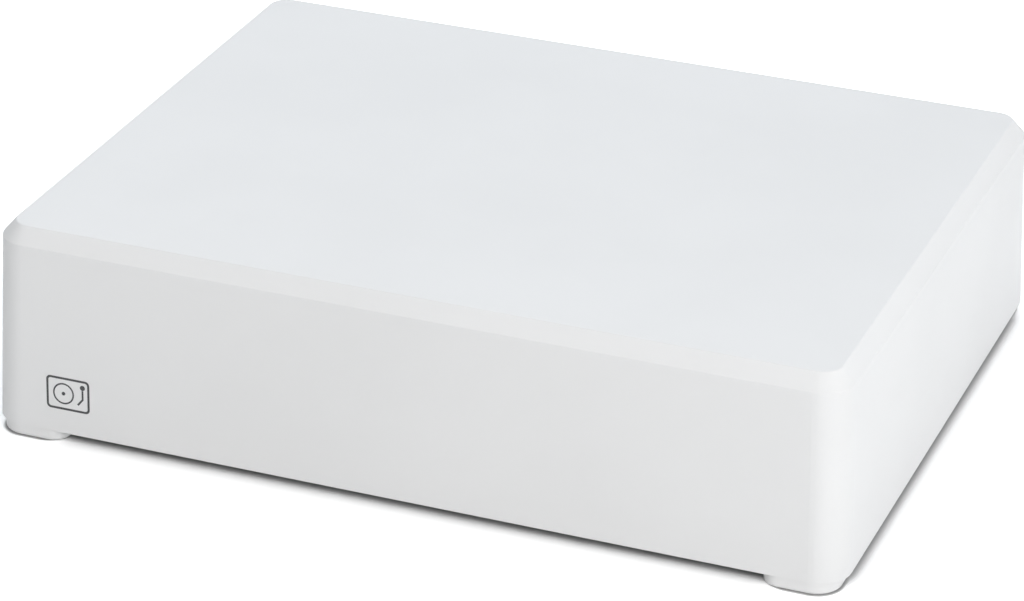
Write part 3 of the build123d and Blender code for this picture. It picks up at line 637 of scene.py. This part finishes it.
low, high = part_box("socket_screws")
panel_face, row_z = high[1] - PAN_HEIGHT, (low[2] + high[2]) / 2
form = bmesh.new()
for x in (low[0] + PAN_RADIUS, high[0] - PAN_RADIUS):
    hoops = screw_hoops(in_metres(PAN_RINGS), panel_face - low[1], **PAN_THREAD, **PAN_CROSS)
    add_skin(form, hoops, facing_rear(x, panel_face, row_z))
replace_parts(finish_piece(form, "pan_head_screws", "screw_steel"), "socket_screws")

low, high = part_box("case_screws")
form = bmesh.new()
for x in (low[0] + SUNK_RADIUS, high[0] - SUNK_RADIUS):
    for y in (low[1] + SUNK_RADIUS, high[1] - SUNK_RADIUS):
        hoops = screw_hoops(in_metres(SUNK_RINGS), high[2] - low[2] - SUNK_DEPTH, **SUNK_THREAD, **SUNK_CROSS)
        add_skin(form, hoops, Matrix.Translation((x, y, low[2])) @ Matrix.Rotation(pi, 4, "X"))
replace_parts(finish_piece(form, "flat_head_screws", "screw_steel"), "case_screws")
print(f"pan heads {2 * PAN_RADIUS / MM:.1f} mm wide, flat heads {2 * SUNK_RADIUS / MM:.1f} mm wide")

# %% [markdown]
# ## The ground terminal
#
# The earth lead of a turntable is clamped between a washer and a knurled thumb nut, on an M4 stud that a hex
# nut fixes to the panel. Threads could be painted on with a bump. Real ones are made here, because the stud
# is seen from its side as soon as the thumb nut is out. The stud's head holds the tag against the panel's
# inner face, and its thread starts there.

# %% Make the stud
STUD_RADIUS, THREAD_ROOT, THREAD_PITCH = 2.0 * MM, 1.66 * MM, 0.7 * MM
TAG_THICKNESS = 0.5 * MM
STUD_TURNS = circle(48)
x, z, inner_end, tip, head_radius = rear_axis("ground_stud")
head_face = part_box("rear_panel")[0][1] - TAG_THICKNESS
stud_head = [
    (head_radius * 0.7, inner_end), (head_radius * 0.9, inner_end + 0.3 * MM),
    (head_radius, inner_end + 1.2 * MM), (head_radius, head_face - 0.05 * MM),
    (head_radius * 0.98, head_face),
]
stud_hoops = [hoop(r, h, STUD_TURNS) for r, h in stud_head]
stud_hoops += thread_hoops(head_face, tip, THREAD_ROOT, STUD_RADIUS, THREAD_PITCH, STUD_TURNS)
form = bmesh.new()
add_skin(form, stud_hoops, facing_rear(x, 0, z))
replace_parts(finish_piece(form, "threaded_stud", "nickel_plate"), "ground_stud")
print(f"stud {(tip - head_face) / MM:.1f} mm long, {(tip - head_face) / THREAD_PITCH:.0f} turns of thread")

# %% [markdown]
# A hex nut's corners are cut back by a cone, which leaves the bright curved edges that any real nut has. A
# boolean would cut them and leave long thin faces. Here the height of each hoop follows the hexagon's
# distance from the axis, which gives the same curve with clean quads.

# %% Make the hex nut
NUT_FLATS, BORE_RADIUS = 7.0 * MM, 2.05 * MM
BORE_CHAMFER, BORE_FLARE = 0.2 * MM, 1.12
CONE_SLOPE, CONE_SHARE = tan(radians(28)), 0.97
NUT_TURNS = circle(96)
cone_radius = NUT_FLATS / 2 * CONE_SHARE
low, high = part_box("ground_lock_nut")


def hexagon(turn):
    """The distance from a hex nut's axis to its side, for an angle."""
    return NUT_FLATS / 2 / cos((turn + pi / 6) % (pi / 3) - pi / 6)


def cut_back(turn):
    """How far the cone takes a corner down from the nut's face."""
    return (hexagon(turn) - cone_radius) * CONE_SLOPE


nut_hoops = [
    hoop(BORE_RADIUS, low[1] + BORE_CHAMFER, NUT_TURNS),
    hoop(BORE_RADIUS * BORE_FLARE, low[1], NUT_TURNS),
    hoop(cone_radius, low[1], NUT_TURNS),
    hoop(hexagon, lambda turn: low[1] + cut_back(turn), NUT_TURNS),
    hoop(hexagon, lambda turn: high[1] - cut_back(turn), NUT_TURNS),
    hoop(cone_radius, high[1], NUT_TURNS),
    hoop(BORE_RADIUS * BORE_FLARE, high[1], NUT_TURNS),
    hoop(BORE_RADIUS, high[1] - BORE_CHAMFER, NUT_TURNS),
]
form = bmesh.new()
add_skin(form, nut_hoops, facing_rear(x, 0, z), closed=True)
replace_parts(finish_piece(form, "hex_nut", "nickel_plate"), "ground_lock_nut")
print("hex nut", round(NUT_FLATS / MM, 1), "mm across its flats")

# %% [markdown]
# The washer is stamped, so its rear edge is rounder than its front. The thumb nut has a plain collar that
# presses on the washer and a grip with a fine knurl. A knurl is often faked with a bump, which leaves the
# outline smooth. Here it is a wave of the radius, four points to a tooth, so the outline has teeth too.
# Both ride on bodies of their own, as they are the parts that move.

# %% Make the washer and the thumb nut
_, _, front_face, rear_face, radius = rear_axis("ground_clamp_washer")
ring = rounded([
    (BORE_RADIUS, front_face, 0.1 * MM),
    (radius, front_face, 0.15 * MM),
    (radius, rear_face, 0.22 * MM),
    (BORE_RADIUS, rear_face, 0.15 * MM),
])
form = bmesh.new()
add_skin(form, [hoop(r, h, SHELL_TURNS) for r, h in ring], facing_rear(x, 0, z), closed=True)
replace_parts(finish_piece(form, "clamp_washer", "nickel_plate", "ground_washer"), "ground_clamp_washer")

COLLAR_RADIUS, COLLAR_HEIGHT = 3.4 * MM, 0.9 * MM
GRIP_RADIUS, GRIP_BEVEL, FACE_SINK = 4.5 * MM, 0.3 * MM, 0.18 * MM
KNURL_TEETH, KNURL_DEPTH, TOOTH_STEPS = 44, 0.3 * MM, 4
KNURL_TURNS = circle(KNURL_TEETH * TOOTH_STEPS)
_, _, front_face, rear_face, _ = rear_axis("ground_thumb_nut")
shoulder = front_face + COLLAR_HEIGHT


def knurl(turn):
    """The radius of the grip, for an angle."""
    return GRIP_RADIUS - KNURL_DEPTH * (0.5 - 0.5 * cos(turn * KNURL_TEETH))


thumb_rings = [
    (BORE_RADIUS, front_face + 0.2 * MM),
    (BORE_RADIUS * 1.1, front_face),
    (COLLAR_RADIUS * 0.95, front_face),
    (COLLAR_RADIUS, front_face + 0.15 * MM),
    (COLLAR_RADIUS, shoulder - 0.1 * MM),
    (COLLAR_RADIUS * 1.04, shoulder),
    (GRIP_RADIUS * 0.93, shoulder),
    (knurl, shoulder + GRIP_BEVEL),
    (knurl, rear_face - GRIP_BEVEL),
    (GRIP_RADIUS * 0.93, rear_face),
    (GRIP_RADIUS * 0.66, rear_face),
    (GRIP_RADIUS * 0.62, rear_face - FACE_SINK),
    (BORE_RADIUS * 1.15, rear_face - FACE_SINK),
    (BORE_RADIUS, rear_face - 0.4 * MM),
]
form = bmesh.new()
add_skin(form, [hoop(r, h, KNURL_TURNS) for r, h in thumb_rings], facing_rear(x, 0, z), closed=True)
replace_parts(finish_piece(form, "knurled_thumb_nut", "nickel_plate", "ground_nut"), "ground_thumb_nut")
print(KNURL_TEETH, "teeth on the thumb nut")

# %% [markdown]
# ## Printed signs
#
# The rear panel says what each socket is for, in dark ink: IN and OUT, L and R, DC, and the sign for earth.
# The front has one small sign of a turntable. An image of the signs would look soft up close. Ink is a very
# thin skin, so each sign is a flat curve, filled and raised by a fiftieth of a millimetre, then made into a
# mesh. The ink itself is not quite black, and a little uneven.

# %% Mix the ink
INK_SPECK, INK_DETAIL = 2500.0, 3.0
INK_ROUGH, INK_ROUGH_RANGE = 0.45, 0.15
ink_grey, tree = new_material("ink_grey")
where = Shade.add(tree, "TexCoord", out="Object")
speck = Shade.add(tree, "TexNoise", None, {"Vector": where, "Scale": INK_SPECK, "Detail": INK_DETAIL})
skin = Shade.add(tree, "BsdfPrincipled", None, {
    "Base Color": speck.between(DRIFT_LOW, DRIFT_HIGH).mix((0.035, 0.036, 0.038), (0.055, 0.056, 0.058)),
    "Roughness": speck * INK_ROUGH_RANGE + INK_ROUGH,
})
Shade.add(tree, "OutputMaterial", None, {"Surface": skin})
finishes["ink_grey"] = ink_grey
print("one ink,", len(finishes), "finishes in all")

# %% [markdown]
# A sign starts as a font's word or as closed outlines, where an outline inside another leaves a hole. Both
# are curves, so one helper raises them, turns them into a mesh and lays them on a wall.

# %% Turn curves into printed signs
INK_THICKNESS = 0.02 * MM
CURVE_STEPS = 12
SAME_POINT = 1e-7


def print_sign(name, curve, place):
    """Make a thin raised mesh of a filled curve and lay it on a surface."""
    curve.extrude = INK_THICKNESS
    curve.resolution_u = CURVE_STEPS
    drawn = bpy.data.objects.new(name, curve)
    bpy.context.scene.collection.objects.link(drawn)
    bpy.context.view_layer.update()
    mesh = bpy.data.meshes.new_from_object(drawn.evaluated_get(bpy.context.evaluated_depsgraph_get()))
    bpy.data.objects.remove(drawn)
    form = bmesh.new()
    form.from_mesh(mesh)
    bpy.data.meshes.remove(mesh)
    bmesh.ops.remove_doubles(form, verts=form.verts, dist=SAME_POINT)
    form.transform(place)
    finish_piece(form, name, "ink_grey")


def outline_curve(name, outlines):
    """A flat curve of closed outlines, given in mm; one inside another leaves a hole."""
    curve = bpy.data.curves.new(name, "CURVE")
    curve.dimensions, curve.fill_mode = "2D", "BOTH"
    for points in outlines:
        line = curve.splines.new("POLY")
        line.points.add(len(points) - 1)
        for point, (across, up) in zip(line.points, points):
            point.co = (across * MM, up * MM, 0, 1)
        line.use_cyclic_u = True
    return curve


def word_curve(name, word, size):
    """A word in Blender's own font, centred."""
    curve = bpy.data.curves.new(name, "FONT")
    curve.body, curve.size = word, size
    curve.align_x, curve.align_y = "CENTER", "CENTER"
    return curve


def bar(left, low, right, high):
    """An upright rectangle."""
    return [(left, low), (right, low), (right, high), (left, high)]


def ring_outline(across, up, radius, count=48):
    """A circle."""
    return [(across + radius * cos(turn), up + radius * sin(turn)) for turn in circle(count)]


print("ink", round(INK_THICKNESS / MM, 2), "mm thick")

# %% [markdown]
# The words stand in one row above the sockets. Seen from behind, the box's left is on the right, so each
# sign is turned to face the rear before it is laid on the panel.

# %% Print the rear panel
LETTER_SIZE = 2.7 * MM
SIGN_HEIGHT = 24.5 * MM
EARTH_BARS = [  # the stem and three bars that grow shorter: left, low, right and high in mm
    (-0.12, 0.2, 0.12, 1.5), (-1.3, -0.04, 1.3, 0.2), (-0.85, -0.64, 0.85, -0.4), (-0.4, -1.24, 0.4, -1.0),
]
panel_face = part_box("rear_panel")[1][1]


def on_panel(x, z):
    """A place on the rear panel's face: across runs to the left as it is seen, and up is up."""
    turned = Matrix(((-1, 0, 0), (0, 0, 1), (0, 1, 0))).to_4x4()
    return Matrix.Translation((x, panel_face, z)) @ turned


centres = {name: rear_axis(f"{name}_barrel")[0] for name in SOCKETS}
signs = {f"sign_{name}": ("L" if name.endswith("left") else "R", x) for name, x in centres.items()}
signs["sign_in"] = ("IN", (centres["input_left"] + centres["input_right"]) / 2)
signs["sign_out"] = ("OUT", (centres["output_left"] + centres["output_right"]) / 2)
signs["sign_power"] = ("DC", rear_axis("power_socket_pin")[0])
for name, (word, x) in signs.items():
    print_sign(name, word_curve(name, word, LETTER_SIZE), on_panel(x, SIGN_HEIGHT))
print_sign("sign_earth", outline_curve("sign_earth", [bar(*sides) for sides in EARTH_BARS]),
           on_panel(rear_axis("ground_stud")[0], SIGN_HEIGHT))
print(len(signs) + 1, "signs on the panel")

# %% [markdown]
# The front wall leans back by its draft, so the front sign leans with it. It shows a record player from
# above: the plinth's outline, the platter with its spindle, and the arm with its pivot. Thin lines keep it
# as quiet as a sign of this size should be.

# %% Print the turntable sign on the front
SIGN_CENTRE_X, SIGN_CENTRE_Z = -54.2 * MM, 8.5 * MM
FOOT_HEIGHT, DRAFT = 1.9 * MM, radians(2)
CORNER_STEPS = 6
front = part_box("top_cover")[0][1] + (SIGN_CENTRE_Z - FOOT_HEIGHT) * tan(DRAFT)
lean = Matrix(((1, 0, 0), (0, sin(DRAFT), -cos(DRAFT)), (0, cos(DRAFT), sin(DRAFT)))).to_4x4()


def plinth_outline(half_width, half_height, corner):
    """A rounded rectangle."""
    points = []
    for k, (sx, sz) in enumerate(((1, 1), (-1, 1), (-1, -1), (1, -1))):
        for step in range(CORNER_STEPS + 1):
            turn = (k + step / CORNER_STEPS) * pi / 2
            points.append((sx * (half_width - corner) + corner * cos(turn),
                           sz * (half_height - corner) + corner * sin(turn)))
    return points


TURNTABLE = [  # in mm: the plinth's line, the platter's line, the spindle, the pivot and the arm
    plinth_outline(3.6, 2.7, 0.7), plinth_outline(3.25, 2.35, 0.4),
    ring_outline(-0.75, 0, 1.75), ring_outline(-0.75, 0, 1.5),
    ring_outline(-0.75, 0, 0.3, 24),
    ring_outline(2.45, 1.5, 0.42, 32),
    [(2.3, 1.05), (2.6, 1.05), (2.6, -0.5), (1.75, -1.55), (1.5, -1.35), (2.3, -0.4)],
]
print_sign("sign_turntable", outline_curve("sign_turntable", TURNTABLE),
           Matrix.Translation((SIGN_CENTRE_X, front, SIGN_CENTRE_Z)) @ lean)
print("front sign at", [round(v / MM, 1) for v in (SIGN_CENTRE_X, front, SIGN_CENTRE_Z)])

# %% [markdown]
# The model must stay inside the box of its solids.
